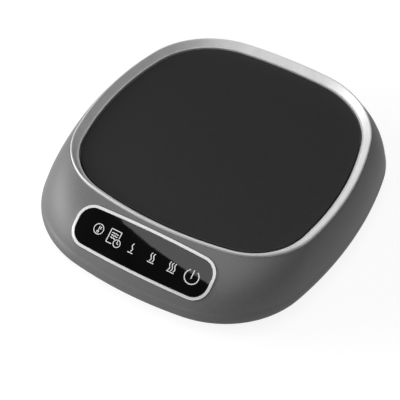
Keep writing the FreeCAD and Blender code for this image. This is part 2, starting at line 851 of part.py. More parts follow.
def carrier_screws():
    floor = size("hem_height") + "screw_head_height"

    def one(name, x, y):
        return screw(name, x, y, floor, size("post_height") - floor + "screw_bite" - STOCK)
    return copies("carrier_screws", one, LUG_SPOTS)


def base_screws():
    floor = size("hem_height") + "screw_head_height"

    def one(name, x, y):
        return screw(name, x, y, floor, BASE_TOP - floor + "screw_bite" - STOCK)
    return copies("base_screws", one, BOSS_SPOTS)


def board_screws():
    def one(name, x, y):
        item = screw(name, x, y, 0, size("power_board_thickness") + 2, "small_screw_radius",
                     "small_head_radius", "small_head_height")
        return place(item, x, y, BOARD_TOP, (1, 0, 0), 180)
    return copies("board_screws", one, BOARD_POST_SPOTS)


def base_cover():
    """Black base: floor with vents, foot recesses, counterbored screw holes and posts."""
    body = new_body("base_plate")
    hem = tucked(1).grown(size("wall_in") * -1 - size("base_fit"))
    sketch = body_sketch(body, "base_outline", "hem_height")
    draw_outline(sketch, hem)
    body_pad(body, "base_floor", sketch, "base_thickness")
    feet = body_sketch(body, "foot_recesses", "hem_height")
    for side in (-1, 1):
        for end in ("foot_front", "foot_back"):
            add_circle(feet, size("foot_radius") + "foot_fit", size("foot_side") * side, end)
    body_pocket(body, "foot_pockets", feet, "foot_recess", True)
    posts = [cylinder(f"carrier_post_{index}", "lug_radius", size("post_height") - "hem_height", x, y,
                      "hem_height") for index, (x, y) in enumerate(LUG_SPOTS)]
    posts += [cylinder(f"board_post_{index}", "board_post_radius",
                       size("power_board_z") - "hem_height", x, y, "hem_height")
              for index, (x, y) in enumerate(BOARD_POST_SPOTS)]
    rows = [box(f"vent_{row}_{index}", "vent_width", "vent_length", size("base_thickness") + 2 * STOCK,
                size("vent_pitch") * (index - VENTS // 2),
                size("power_board_y") + size("vent_rows") * (row - HALF), size("hem_height") - STOCK)
            for row in (0, 1) for index in range(VENTS)]
    holes = []
    for index, (x, y) in enumerate(LUG_SPOTS + BOSS_SPOTS):
        holes.append(cylinder(f"base_hole_{index}", size("screw_radius") + "screw_clearance",
                              size("post_height"), x, y, "hem_height"))
        holes.append(cylinder(f"base_counterbore_{index}", size("screw_head_radius") + "head_clearance",
                              size("screw_head_height") + STOCK, x, y, size("hem_height") - STOCK))
    for index, (x, y) in enumerate(BOARD_POST_SPOTS):
        holes.append(cylinder(f"board_pilot_{index}", size("small_screw_radius") - "pilot_grip",
                              "board_pilot_depth", x, y, size("power_board_z") - "board_pilot_depth"))
    return cut("base_cover", fuse("base_whole", [body] + posts), rows + holes)


def foot(name, x, y):
    """Rubber foot with a rounded tread, turned about its own axis."""
    body = new_body(name)
    sketch = body_sketch(body, f"{name}_round", 0)
    add_circle(sketch, "foot_radius")
    body_pad(body, f"{name}_pad", sketch, size("hem_height") + "foot_recess")
    doc.recompute()
    tread = body.newObject("PartDesign::Chamfer", f"{name}_tread")
    pad_feature = tread.BaseFeature if tread.BaseFeature else body.Group[-2]
    low = [f"Edge{index}" for index, edge in enumerate(pad_feature.Shape.Edges, start=1)
           if edge.BoundBox.ZMax < 1e-6]
    tread.Base = (pad_feature, low)
    tread.Size = size("foot_chamfer").value
    bind(tread, "Size", "foot_chamfer")
    return place(body, x, y, 0)


# Control panel
def panel_blank(name, outline, outer_layer, inner_layer):
    """A piece of the deck's curve with a prism's outline, between two layers."""
    piece = common(f"{name}_blank", panel_prism(f"{name}_prism", outline, "window_depth", ABOVE_DECK),
                   deck_solid(f"{name}_outer", outer_layer))
    return cut(f"{name}_curved", piece, [deck_solid(f"{name}_inner", inner_layer)])


def lens_frame():
    blank = panel_blank("lens_frame", PANEL, SIZES["frame_proud"] * -1, SIZES["frame_depth"])
    seat = cut("frame_seat", panel_prism("frame_seat_prism", LENS.grown(size("panel_fit")), "window_depth",
                                         ABOVE_DECK), [deck_solid("frame_seat_floor", SIZES["lens_depth"])])
    eye = panel_prism("frame_eye", LENS.grown(size("frame_step") * -1), ABOVE_DECK, ABOVE_DECK)
    return cut("lens_frame", blank, [seat, eye])


def control_lens():
    piece = common("lens_blank", panel_prism("lens_prism", LENS, "window_depth", ABOVE_DECK),
                   deck_solid("lens_outer", SIZES["lens_proud"] * -1))
    return cut("control_lens", piece, [deck_solid("lens_inner", SIZES["lens_depth"])])


def key_spots():
    middle = size("key_middle")
    return [(middle + size("key_pitch") * (index - (KEYS - 1) * HALF), size("key_line"))
            for index in range(KEYS)]


def tilted_box(name, length, width, height, x, slope, depth):
    item = doc.addObject("Part::Box", name)
    bind(item, "Length", length)
    bind(item, "Width", width)
    bind(item, "Height", height)
    return tilted(item, size(x) - size(length) * HALF, size(slope) - size(width) * HALF, depth)


def tilted_cylinder(name, radius, height, x, slope, depth):
    item = doc.addObject("Part::Cylinder", name)
    bind(item, "Radius", radius)
    bind(item, "Height", height)
    return tilted(item, x, slope, depth)


BOARD_FACE = size("control_board_depth") * -1
BOARD_BACK = BOARD_FACE - "control_board_thickness"
BOARD_HOLE = size("small_screw_radius") + "board_hole_clearance"
POST_SIDE = size("control_board_length") * HALF - "panel_post_inset"


def light_guide():
    """White block that follows the lens's underside, with a light well under each key."""
    block = tilted_box("guide_block", "guide_length", "guide_width", size("control_board_depth"),
                       "key_middle", "key_line", BOARD_FACE)
    curved = common("guide_curved", block, deck_solid("guide_under_lens", SIZES["guide_layer"]))
    wells = [tilted_cylinder(f"light_well_{index}", "well_radius", size("control_board_depth") * 2, x, slope,
                             BOARD_FACE - STOCK) for index, (x, slope) in enumerate(key_spots())]
    return cut("light_guide", curved, wells)


def touch_pads():
    """Clear ring electrodes between the light guide and the lens, one to a key."""
    discs = [tilted_cylinder(f"pad_disc_{index}", "pad_radius", "control_board_depth", x, slope, BOARD_FACE)
             for index, (x, slope) in enumerate(key_spots())]
    eyes = [tilted_cylinder(f"pad_eye_{index}", "well_radius", size("control_board_depth") * 2, x, slope,
                            BOARD_FACE - STOCK) for index, (x, slope) in enumerate(key_spots())]
    film = common("pad_film", group("pad_discs", discs), deck_solid("pad_top", SIZES["pad_layer"]))
    return cut("touch_pads", film, eyes + [deck_solid("pad_bottom", SIZES["guide_layer"])])


def indicator_leds():
    return group("indicator_leds", [tilted_box(f"led_{index}", "led_size", "led_size", "led_height", x, slope,
                                               BOARD_FACE) for index, (x, slope) in enumerate(key_spots())])


def control_board():
    drop = size("control_board_drop") * -1
    board = tilted_box("control_board_blank", "control_board_length", "control_board_width",
                       "control_board_thickness", 0, drop, BOARD_BACK)
    holes = [tilted_cylinder(f"control_hole_{index}", BOARD_HOLE, size("control_board_thickness") + 2 * STOCK,
                             POST_SIDE * side, drop, BOARD_BACK - STOCK)
             for index, side in enumerate((-1, 1))]
    return cut("control_board", board, holes)


def panel_screws():
    """Two small screws that hold the control board to the posts, with their heads behind it."""
    pieces = []
    for index, side in enumerate((-1, 1)):
        across = POST_SIDE * side
        drop = size("control_board_drop") * -1
        head = tilted_cylinder(f"panel_screw_head_{index}", "small_head_radius", "small_head_height", across,
                               drop, BOARD_BACK - "small_head_height")
        shank = tilted_cylinder(f"panel_screw_shank_{index}", size("small_screw_radius") - "pilot_grip",
                                size("control_board_thickness") + HALF, across, drop, BOARD_BACK - HALF)
        pieces.append(fuse(f"panel_screw_{index}", [head, shank]))
    return group("panel_screws", pieces)


def control_chip():
    return tilted_box("control_chip", "chip_length", "chip_width", "chip_height", "chip_side",
                      size("control_board_drop") * -1, BOARD_BACK - "chip_height")


def board_connector():
    return tilted_box("board_connector", "connector_length", "connector_width", "connector_depth",
                      "connector_side", size("control_board_drop") * -1, BOARD_BACK - "connector_depth")


# Power board and what stands on it
def power_board():
    board = box("power_board_blank", "power_board_length", "power_board_width", "power_board_thickness", 0,
                "power_board_y", "power_board_z")
    holes = [cylinder(f"power_hole_{index}", BOARD_HOLE, size("power_board_thickness") + 2 * STOCK, x, y,
                      size("power_board_z") - STOCK) for index, (x, y) in enumerate(BOARD_POST_SPOTS)]
    return cut("power_board", board, holes)


def on_board(name):
    """A block on the power board, with its row of sizes."""
    return box(name, f"{name}_length", f"{name}_width", f"{name}_height", f"{name}_across",
               size("power_board_y") + f"{name}_along", BOARD_TOP)


def lying_can(name):
    """A can on its side along X, as wide as it is high."""
    radius = size(f"{name}_width") * HALF
    return cylinder(name, radius, f"{name}_length", size(f"{name}_across") - size(f"{name}_length") * HALF,
                    size("power_board_y") + f"{name}_along", BOARD_TOP + radius, (0, 1, 0), 90)


def transformer():
    return fuse("transformer", [on_board("transformer_core"), on_board("transformer_bobbin")])


TERMINAL_BACK = size("power_board_y") + "terminal_blank_along" + size("terminal_blank_width") * HALF
LEAD_HEIGHT = BOARD_TOP + "terminal_port_height"


def terminal_block():
    """Block with a round port for each heater lead in its rear face."""
    ports = [cylinder(f"terminal_port_{index}", "terminal_port_radius", "terminal_port_depth",
                      size("tab_middle") + size("tab_side") * side, TERMINAL_BACK + 2, LEAD_HEIGHT,
                      (1, 0, 0), 90) for index, side in enumerate((-1, 1))]
    return cut("terminal_block", on_board("terminal_blank"), ports)


def triac():
    return fuse("triac", [on_board("triac_case"), on_board("triac_tab")])


def choke():
    """Wound toroid lying flat."""
    item = doc.addObject("Part::Torus", "choke")
    bind(item, "Radius1", "choke_radius")
    bind(item, "Radius2", "choke_wire_radius")
    return place(item, "choke_across", size("power_board_y") + "choke_along", BOARD_TOP + "choke_wire_radius")


def heater_lead(name, x):
    """Silicone lead from a heater tab, down and forward into the terminal block."""
    x = x.value
    top = TAB_BOTTOM.value
    level = LEAD_HEIGHT.value
    start_y = TAB_Y.value
    end_y = TERMINAL_BACK.value + LEAD_END_GAP
    start = FreeCAD.Vector(x, start_y, top)
    corner = FreeCAD.Vector(x, start_y, level)
    bend = SIZES["lead_bend"]
    down = FreeCAD.Vector(x, start_y, level + bend)
    across = FreeCAD.Vector(x, start_y - bend, level)
    inward = bend * (1 - math.sqrt(HALF))
    middle = corner + FreeCAD.Vector(0, -inward, inward)
    path = Part.Wire([Part.LineSegment(start, down).toShape(),
                      Part.Arc(down, middle, across).toShape(),
                      Part.LineSegment(across, FreeCAD.Vector(x, end_y, level)).toShape()])
    ring = Part.Wire([Part.makeCircle(SIZES["lead_radius"], start, FreeCAD.Vector(0, 0, -1))])
    item = doc.addObject("Part::Feature", name)
    item.Shape = path.makePipeShell([ring], True, False)
    return item


TAB_SPOTS = [size("tab_middle") + size("tab_side") * side for side in (-1, 1)]
TAB_Y = size("power_board_y") + "tab_setback"
TAB_BOTTOM = CLAMP_BOTTOM - "tab_drop"
LEAD_END_GAP = 0.05


def heater_tabs():
    """Two flat tabs from the heater down through the insulation and the clamp plate."""
    pieces = [box(f"heater_tab_{index}", "tab_width", "tab_thickness", HEATER_BOTTOM - TAB_BOTTOM, across,
                  TAB_Y, TAB_BOTTOM) for index, across in enumerate(TAB_SPOTS)]
    return group("heater_tabs", pieces)


def pierced_layer(name, grow, bottom, top, stud_hole):
    """A heater layer with stud holes and slots for the tabs."""
    layer = plate_layer(f"{name}_layer", grow, bottom, top, stud_hole, STUD_SPOTS)
    slots = [box(f"{name}_slot_{index}", "tab_slot_width", "tab_slot_depth", size(top) - bottom + 2 * STOCK,
                 across, TAB_Y, bottom - STOCK) for index, across in enumerate(TAB_SPOTS)]
    return cut(name, layer, slots)


RIBBON_DROP = 0.2
RIBBON_BEND_SHARE = 0.45


def ribbon_harness():
    """Flat ribbon from the control board's connector down to the power board's header."""
    tilt = math.radians(SIZES["panel_tilt"])
    depth = -SIZES["control_board_depth"] - SIZES["control_board_thickness"] - SIZES["connector_depth"]
    slope = -SIZES["control_board_drop"] - SIZES["panel_setback"]
    start = FreeCAD.Vector(0, PANEL_Y.value + slope * math.cos(tilt) - depth * math.sin(tilt),
                           PANEL_Z.value + slope * math.sin(tilt) + depth * math.cos(tilt))
    inward = FreeCAD.Vector(0, math.sin(tilt), -math.cos(tilt))
    level = BOARD_TOP.value + SIZES["header_height"] * HALF - RIBBON_DROP
    run = (start.z - level) / math.cos(tilt)
    corner = start + inward * run
    end = FreeCAD.Vector(0, HEADER_FACE.value, level)
    bend = RIBBON_BEND_SHARE * min(run, end.y - corner.y)
    before = corner - inward * bend
    after = corner + FreeCAD.Vector(0, bend, 0)
    radius = bend / math.tan((math.pi / 2 - tilt) / 2)
    halfway = (before + after) * HALF
    out = (corner - halfway).normalize()
    centre = halfway - out * math.sqrt(radius ** 2 - ((after - before).Length * HALF) ** 2)
    middle = centre + out * radius
    path = Part.Wire([Part.LineSegment(start, before).toShape(), Part.Arc(before, middle, after).toShape(),
                      Part.LineSegment(after, end).toShape()])
    thick = FreeCAD.Vector(0, math.cos(tilt), math.sin(tilt)) * SIZES["ribbon_half_thickness"]
    wide = FreeCAD.Vector(SIZES["ribbon_half_width"], 0, 0)
    section = Part.makePolygon([start - wide - thick, start + wide - thick, start + wide + thick,
                                start - wide + thick, start - wide - thick])
    item = doc.addObject("Part::Feature", "ribbon_harness")
    item.Shape = path.makePipeShell([section], True, False)
    item.Placement = FreeCAD.Placement(FreeCAD.Vector(SIZES["connector_side"], 0, 0), FreeCAD.Rotation())
    return item


HEADER_Y = size("power_board_y") - "header_setback"
HEADER_FACE = HEADER_Y - size("connector_width") * HALF


def board_header():
    return box("board_header", "connector_length", "connector_width", "header_height", "connector_side",
               HEADER_Y, BOARD_TOP)


FUSE_Y = size("plate_setback") - "fuse_setback"
SENSOR_Y = size("plate_setback") + "sensor_setback"


def thermal_fuse():
    return cylinder("thermal_fuse", "fuse_radius", "fuse_length", size("fuse_length") * HALF * -1, FUSE_Y,
                    CLAMP_BOTTOM - "fuse_radius", (0, 1, 0), 90)


def fuse_strap():
    """Steel strap that holds the thermal fuse against the clamp plate."""
    tunnel_width = (size("fuse_radius") + "strap_gap") * 2
    tunnel_depth = size("fuse_radius") * 2 + "strap_gap"
    depth = tunnel_depth + "strap_thickness"
    long = size("strap_width") + 2 * STOCK
    ear = (size("strap_length") - tunnel_width) * HALF - "strap_thickness"
    blank = box("strap_blank", "strap_width", "strap_length", depth, 0, FUSE_Y, CLAMP_BOTTOM - depth)
    tunnel = box("strap_tunnel", long, tunnel_width, tunnel_depth, 0, FUSE_Y, CLAMP_BOTTOM - tunnel_depth)
    away = tunnel_width * HALF + "strap_thickness" + (ear + STOCK) * HALF
    sides = [box(f"strap_side_{index}", long, ear + STOCK, tunnel_depth, 0, FUSE_Y + away * side,
                 CLAMP_BOTTOM - depth) for index, side in enumerate((-1, 1))]
    return cut("fuse_strap", blank, [tunnel] + sides)


def thermistor():
    bead = cylinder("thermistor_bead", "bead_radius", "bead_height", 0, SENSOR_Y,
                    CLAMP_BOTTOM - "bead_height")
    lug = cylinder("thermistor_lug", "sensor_lug_radius", "sensor_lug_height", 0, SENSOR_Y,
                   CLAMP_BOTTOM - "sensor_lug_height")
    return fuse("thermistor", [bead, lug])


def cord_gland():
    """Bushing snapped into the rear wall, with a flange on each side and a bore for the cord."""
    face = size("gland_face_y")
    long = size("gland_length")
    flat = size("gland_flange_thickness")

    def disc(name, radius, length, back):
        return cylinder(name, radius, length, 0, back, "gland_height", (1, 0, 0), 90)
    neck = disc("gland_neck_tube", "gland_neck", long, face)
    outer = disc("gland_outer_flange", "gland_flange", flat, face)
    inner = disc("gland_inner_flange", "gland_flange", flat, face - long + flat)
    bore = disc("gland_bore_hole", "gland_bore", long + 2 * STOCK, face + STOCK)
    return cut("cord_gland", fuse("gland_blank", [neck, outer, inner]), [bore])


STACK = size("plate_rim") * -1 - size("stack_clearance")
STUD_HOLE = size("stud_radius") + "stud_hole_clearance"
NODES = [
    top_housing(),
    bezel_ring(),
    heating_plate(),
    plate_frame("plate_seal", "flange_reach", "seal_inner", FLANGE_TOP, LEDGE_BOTTOM),
    plate_carrier(),
    pierced_layer("heater_element", STACK, HEATER_BOTTOM, HEATER_TOP, STUD_HOLE),
    pierced_layer("insulation_pad", STACK, INSULATION_BOTTOM, HEATER_BOTTOM, STUD_HOLE),
    pierced_layer("clamp_plate", STACK, CLAMP_BOTTOM, INSULATION_BOTTOM,
                  size("screw_radius") + "screw_clearance"),
    clamp_screws(),
    heater_tabs(),
    heater_lead("heater_lead_left", TAB_SPOTS[0]),
    heater_lead("heater_lead_right", TAB_SPOTS[1]),
    thermistor(),
    thermal_fuse(),
    fuse_strap(),
    control_lens(),
    lens_frame(),
    light_guide(),
    touch_pads(),
    indicator_leds(),
    control_board(),
    panel_screws(),
    control_chip(),
    board_connector(),
    ribbon_harness(),
    board_header(),
    power_board(),
    transformer(),
    terminal_block(),
    triac(),
    choke(),
    lying_can("smoothing_capacitor"),
    lying_can("mains_fuse"),
    on_board("film_capacitor"),
    board_screws(),
    base_cover(),
    base_screws(),
    carrier_screws(),
    cord_gland(),
]
for side_name, side in (("left", -1), ("right", 1)):
    for end_name in ("front", "back"):
        NODES.append(foot(f"foot_{end_name}_{side_name}", size("foot_side") * side, size(f"foot_{end_name}")))

doc.recompute()

# Nothing is written unless every object is sound
for item in doc.Objects:
    if {"Invalid", "Error"} & set(item.State):
        raise RuntimeError(f"{item.Name} failed: {item.State}")
for node in NODES:
    if node.Shape.isNull() or not node.Shape.isValid():
        raise RuntimeError(f"{node.Name} has no valid shape")

os.makedirs("parts", exist_ok=True)
for node in NODES:
    node.Label = node.Name
    node.Shape.exportStep(os.path.join("parts", f"{node.Label}.step"))
    bounds = node.Shape.BoundBox
    print(f"{node.Label}: {len(node.Shape.Solids)} solids, {node.Shape.Volume:.1f} mm3, "
          f"z {bounds.ZMin:.2f} to {bounds.ZMax:.2f}")
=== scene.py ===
# %% [markdown]
# # An electric mug warmer, dressed and lit
#
# The solids of the mug warmer come from the CAD model: a silver housing, a bright
# ring, a black heating plate and a gloss black touch panel on a sloping front deck.
# This lesson keeps every solid where it is and gives each one the finish of the real
# thing, prints the marks on the touch panel, and sets up a plain pale studio with a
# camera at the photograph's viewing angle.
#
# The model is loaded first, because every later cell asks it for sizes or for nodes.

import json
import math

import bmesh
import bpy
from mathutils import Matrix, Quaternion, Vector
from mathutils.bvhtree import BVHTree


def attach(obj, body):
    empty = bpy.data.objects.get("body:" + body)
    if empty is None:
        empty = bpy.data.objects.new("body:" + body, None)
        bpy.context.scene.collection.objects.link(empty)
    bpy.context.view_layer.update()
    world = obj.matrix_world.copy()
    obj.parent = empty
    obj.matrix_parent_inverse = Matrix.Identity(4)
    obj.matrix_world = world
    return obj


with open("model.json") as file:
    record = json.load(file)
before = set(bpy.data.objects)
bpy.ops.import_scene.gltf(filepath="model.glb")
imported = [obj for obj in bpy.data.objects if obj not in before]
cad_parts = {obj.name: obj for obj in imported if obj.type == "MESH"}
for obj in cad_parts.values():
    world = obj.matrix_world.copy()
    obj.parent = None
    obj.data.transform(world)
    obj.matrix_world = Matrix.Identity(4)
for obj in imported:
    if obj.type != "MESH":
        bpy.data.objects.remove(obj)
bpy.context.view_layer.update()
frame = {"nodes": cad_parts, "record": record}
MM = 0.001
print("nodes loaded:", len(frame["nodes"]))

# %% [markdown]
# ## The camera
#
# A product photograph is taken from a little above and to one side with a long lens,
# so that the square plate stays nearly square. The camera could be placed by eye, but
# one that is off by a few degrees makes every later comparison wrong. So its angles
# and distance were worked out from the plate's edge and the housing's outline, and
# the cell below only turns those angles into a place and three axes.

# %% Camera angles and place
turn = math.radians(25.31)
height_angle = math.radians(47.636)
lean = math.radians(5.387)
camera_distance = 400 * MM
focal_pixels = 1010.183
picture_side = 400
aimed_at = Vector((0, 6.7, 24)) * MM
aimed_pixel = (225.798, 140.007)

towards_camera = Vector((
    math.sin(turn) * math.cos(height_angle),
    -math.cos(turn) * math.cos(height_angle),
    math.sin(height_angle),
))
level_right = Vector((math.cos(turn), math.sin(turn), 0))
level_up = towards_camera.cross(level_right)
camera_right = math.cos(lean) * level_right + math.sin(lean) * level_up
camera_up = math.cos(lean) * level_up - math.sin(lean) * level_right

pixel_size = camera_distance / focal_pixels
off_right = (aimed_pixel[0] - picture_side / 2) * pixel_size
off_up = (picture_side / 2 - aimed_pixel[1]) * pixel_size
camera_place = (
    aimed_at
    + towards_camera * camera_distance
    - camera_right * off_right
    - camera_up * off_up
)

# %% Make the camera
camera_data = bpy.data.cameras.new("studio_camera")
camera_data.sensor_width = 36
camera_data.lens = focal_pixels * camera_data.sensor_width / picture_side
camera_data.clip_start = 0.01
camera = bpy.data.objects.new("studio_camera", camera_data)
axes = Matrix((camera_right, camera_up, towards_camera)).transposed().to_4x4()
camera.matrix_world = Matrix.Translation(camera_place) @ axes
bpy.context.scene.collection.objects.link(camera)
bpy.context.scene.camera = camera
print("camera at mm:", [round(value / MM, 1) for value in camera_place])
print("lens:", round(camera_data.lens, 1), "mm")

# %% [markdown]
# ## Three small helpers for finishes
#
# A finish in Blender is a tree of nodes. Building one by hand for each of the part's
# forty nodes would be long, so three helpers carry the work. The first turns a colour
# as an artist writes it (sRGB hex) into the linear numbers that shaders use. The
# second adds one node with its settings and its links. The third makes a whole finish:
# a pattern of a real size in millimetres that steers the colour, the roughness and a
# very small height, so that no surface is one flat colour.

# %% Helper: a hex colour as linear numbers
def linear(hex_code):
    """The linear colour, with full opacity, of an sRGB hex code."""
    channels = [int(hex_code[start:start + 2], 16) / 255 for start in (1, 3, 5)]
    light = [
        channel / 12.92 if channel <= 0.04045 else ((channel + 0.055) / 1.055) ** 2.4
        for channel in channels
    ]
    return (*light, 1.0)


print("mid grey #808080 is", round(linear("#808080")[0], 3), "in linear light")

# %% Helper: one node with its settings and links
def add(tree, kind, sockets, **settings):
    """Adds a node of that kind. A socket gets a number, or a link where it is given another node's output."""
    made = tree.nodes.new(kind)
    for name, value in settings.items():
        setattr(made, name, value)
    for name, value in sockets.items():
        if isinstance(value, bpy.types.NodeSocket):
            tree.links.new(value, made.inputs[name])
        else:
            made.inputs[name].default_value = value
    return made


# %% Helper: how many repeats a metre has
def repeats(millimetres):
    """The texture scale, in repeats per metre, of a pattern of that real size."""
    return 1 / (millimetres * MM)


print("a 0.5 mm grain repeats", round(repeats(0.5)), "times in a metre")

# %% Helper: a whole finish from one pattern
finishes = {}
# A Mix node has several sockets of one name, so its colour sockets go by their places.
MIX_A, MIX_B, MIX_RESULT = 6, 7, 2


def finish(slot, name, dark, light, size_mm, rough, depth_mm=0.0, metallic=0.0,
           kind="ShaderNodeTexNoise", contrast=(0.3, 0.7), stretch=(1, 1, 1),
           grain=None, shader=None):
    """Makes the finish of one material slot: colour, roughness and height follow one pattern."""
    material = bpy.data.materials.new(name)
    material.use_nodes = True
    tree = material.node_tree
    surface = tree.nodes["Principled BSDF"]
    place = add(tree, "ShaderNodeTexCoord", {})
    scaled = add(tree, "ShaderNodeMapping", {"Vector": place.outputs["Object"], "Scale": stretch})
    texture = add(tree, kind, {
        "Vector": scaled.outputs["Vector"], "Scale": repeats(size_mm), **(grain or {}),
    })
    level = add(tree, "ShaderNodeMapRange", {
        "Value": texture.outputs[0], "From Min": contrast[0], "From Max": contrast[1],
    })
    colour = add(tree, "ShaderNodeMix", {
        "Factor": level.outputs["Result"], MIX_A: linear(dark), MIX_B: linear(light),
    }, data_type="RGBA")
    tree.links.new(colour.outputs[MIX_RESULT], surface.inputs["Base Color"])
    roughness = add(tree, "ShaderNodeMapRange", {
        "Value": level.outputs["Result"], "To Min": rough[0], "To Max": rough[1],
    })
    tree.links.new(roughness.outputs["Result"], surface.inputs["Roughness"])
    if depth_mm:
        relief = add(tree, "ShaderNodeBump", {
            "Strength": 1.0, "Distance": depth_mm * MM, "Height": level.outputs["Result"],
        })
        tree.links.new(relief.outputs["Normal"], surface.inputs["Normal"])
    surface.inputs["Metallic"].default_value = metallic
    for socket, value in (shader or {}).items():
        surface.inputs[socket].default_value = value
    finishes[slot] = material
    return material


# %% [markdown]
# ## The silver housing
#
# The real housing is moulded ABS, sprayed with a silver-grey paint that holds a few
# metal flakes. They lie at slightly different angles, so close up it sparkles a
# little, and further off it shows a soft highlight that is brighter towards the light
# than plain grey plastic would be. A full metal would look like polished steel, so the
# finish is only slightly metallic, its mirror part is half of what bare plastic has,
# because the flakes lie in a matt binder, and its roughness stays in the satin range.
# Real flakes are about 0.03 mm across, too fine for the picture, so they are drawn at
# 0.4 mm. Sprayed paint also has a faint orange-peel wave of about 3 mm.

# %% Finish: silver paint on moulded ABS
silver = finish(
    "silver_paint", "painted_abs_silver", "#767677", "#828283", size_mm=0.4,
    rough=(0.44, 0.54), depth_mm=0.0015, metallic=0.15,
    grain={"Detail": 4.0}, shader={"Specular IOR Level": 0.25},
)
tree = silver.node_tree
surface = tree.nodes["Principled BSDF"]
place = add(tree, "ShaderNodeTexCoord", {})
peel = add(tree, "ShaderNodeTexNoise", {
    "Vector": place.outputs["Object"], "Scale": repeats(3.0), "Detail": 1.0,
})
flakes = next(node for node in tree.nodes if node.bl_idname == "ShaderNodeBump")
wave = add(tree, "ShaderNodeBump", {
    "Strength": 1.0, "Distance": 0.004 * MM, "Height": peel.outputs["Fac"],
    "Normal": flakes.outputs["Normal"],
})
tree.links.new(wave.outputs["Normal"], surface.inputs["Normal"])
print("silver paint: flakes 0.4 mm, orange peel 3 mm")

# %% [markdown]
# ## The bright ring and the trim round the panel
#
# The ring is moulded in one piece and lacquered in a very pale satin silver. It could be
# a full metal, but that takes all its brightness from what it mirrors, and would be
# patchy in a studio with few lamps. A pale lacquer is lit evenly instead: the wall that
# faces the key light is nearly white, and the one that turns away falls to grey. So it
# is mostly colour with a little metal in it. Sprayed lacquer is never quite even, so
# its shade and its gloss drift a little over some 5 mm. The thin trim round the panel
# has the same lacquer in its brightest grade, smoother and nearly white.

# %% Finishes: satin and bright lacquer
finish(
    "bright_ring", "satin_lacquered_abs", "#eeeeee", "#f5f5f5", size_mm=5.0,
    rough=(0.42, 0.48), depth_mm=0.0, metallic=0.15,
)
finish(
    "bright_trim", "bright_lacquered_trim", "#fafafa", "#ffffff", size_mm=4.0,
    rough=(0.24, 0.30), depth_mm=0.0, metallic=0.05,
)
print("lacquered finishes:", finishes["bright_ring"].name, finishes["bright_trim"].name)

# %% [markdown]
# ## The heating plate
#
# The plate is cast metal under a matt black heat-proof coating, baked on, so that a
# wet mug doesn't mark it. The coating has a fine, slightly gritty grain of grey specks
# on a charcoal ground. They are finer on the real plate and are drawn at 0.7 mm, so
# that they show. A wide soft sheen tells the eye that it is not rubber. The bump is
# about a hundredth of a millimetre, as on a non-stick pan.

# %% Finish: baked heat-proof coating
finish(
    "plate_coating", "baked_matt_coating", "#282828", "#363636", size_mm=0.7,
    rough=(0.52, 0.66), depth_mm=0.012, metallic=0.0,
    contrast=(0.28, 0.72), grain={"Detail": 6.0, "Roughness": 0.7},
)
print("plate coating: grain 0.7 mm")

# %% [markdown]
# ## The touch panel's lens
#
# The panel's window is a moulded acrylic lens, printed black on its back, so the eye
# sees a clear gloss skin over a deep black. Acrylic has an IOR of 1.49. The surface is
# as smooth as its polished mould, with a slow, almost invisible waviness of some 12 mm
# that bends the edges of what it reflects.

# %% Finish: gloss black acrylic
finish(
    "lens_gloss", "acrylic_gloss_black", "#050505", "#0b0b0b", size_mm=12.0,
    rough=(0.04, 0.06), depth_mm=0.0005, metallic=0.0,
    shader={"IOR": 1.49, "Coat Weight": 0.0},
)
print("lens finish:", finishes["lens_gloss"].name)

# %% [markdown]
# ## The base, the feet and the gland
#
# Under the silver skirt sits a tray of black ABS with the fine spark-eroded texture
# that hides fingerprints, four soft rubber feet with a matt bloom, and a rubber gland
# where the cord goes in. They differ by roughness and grain more than by colour: the
# tray is the shiniest and the feet are the dullest.

# %% Finishes: black base plastics and rubbers
finish("black_base", "textured_abs_black", "#161616", "#1f1f1f", size_mm=0.5,
       rough=(0.48, 0.60), depth_mm=0.012)
finish("foot_rubber", "moulded_rubber_feet", "#191919", "#242424", size_mm=0.9,
       rough=(0.78, 0.90), depth_mm=0.010)
finish("gland_rubber", "soft_pvc_gland", "#121212", "#1b1b1b", size_mm=0.8,
       rough=(0.55, 0.68), depth_mm=0.006)
finish("heat_plastic", "glass_filled_polyester", "#1d1c1b", "#292827", size_mm=0.6,
       rough=(0.50, 0.62), depth_mm=0.010)
finish("silicone", "silicone_seal", "#8f8f8c", "#a1a19d", size_mm=1.5,
       rough=(0.55, 0.65), depth_mm=0.004)
print("black finishes and seal made:", len(finishes))

# %% [markdown]
# ## Metals inside
#
# The clamp plate, the straps and the screws are steel, some of it zinc plated. Rolled
# steel shows long faint lines along the sheet, so its pattern is stretched along one
# axis, and zinc plating shows a slightly cloudy bloom instead. Both are full metals,
# which keep the default IOR.

# %% Finishes: steel and zinc
finish("steel", "rolled_steel", "#8d8f91", "#a8aaac", size_mm=0.5,
       rough=(0.28, 0.42), depth_mm=0.003, metallic=1.0, stretch=(0.06, 1, 1))
finish("zinc_screw", "zinc_plated_steel", "#9c9fa1", "#c3c6c8", size_mm=0.8,
       rough=(0.26, 0.40), depth_mm=0.002, metallic=1.0)
finish("electrode", "tin_plated_copper_pads", "#b9a68a", "#d3c4a8", size_mm=0.6,
       rough=(0.32, 0.45), depth_mm=0.002, metallic=1.0)
print("metal finishes made:", len(finishes))

# %% [markdown]
# ## The heater's sheets
#
# Mica is a flaky mineral pressed into thin boards, so its pattern is made of cells
# with their own shade. The insulation under it is a white fibre felt, whose fibres
# are drawn as a noise stretched along one direction.

# %% Finishes: mica and fibre
finish("mica", "pressed_mica_board", "#a9966c", "#d0c096", size_mm=1.6,
       rough=(0.30, 0.50), depth_mm=0.010, kind="ShaderNodeTexVoronoi",
       contrast=(0.0, 0.9))
finish("insulation", "ceramic_fibre_felt", "#cfcbc0", "#efece4", size_mm=0.5,
       rough=(0.86, 0.96), depth_mm=0.050, stretch=(0.15, 1, 1))
print("sheet finishes made:", len(finishes))

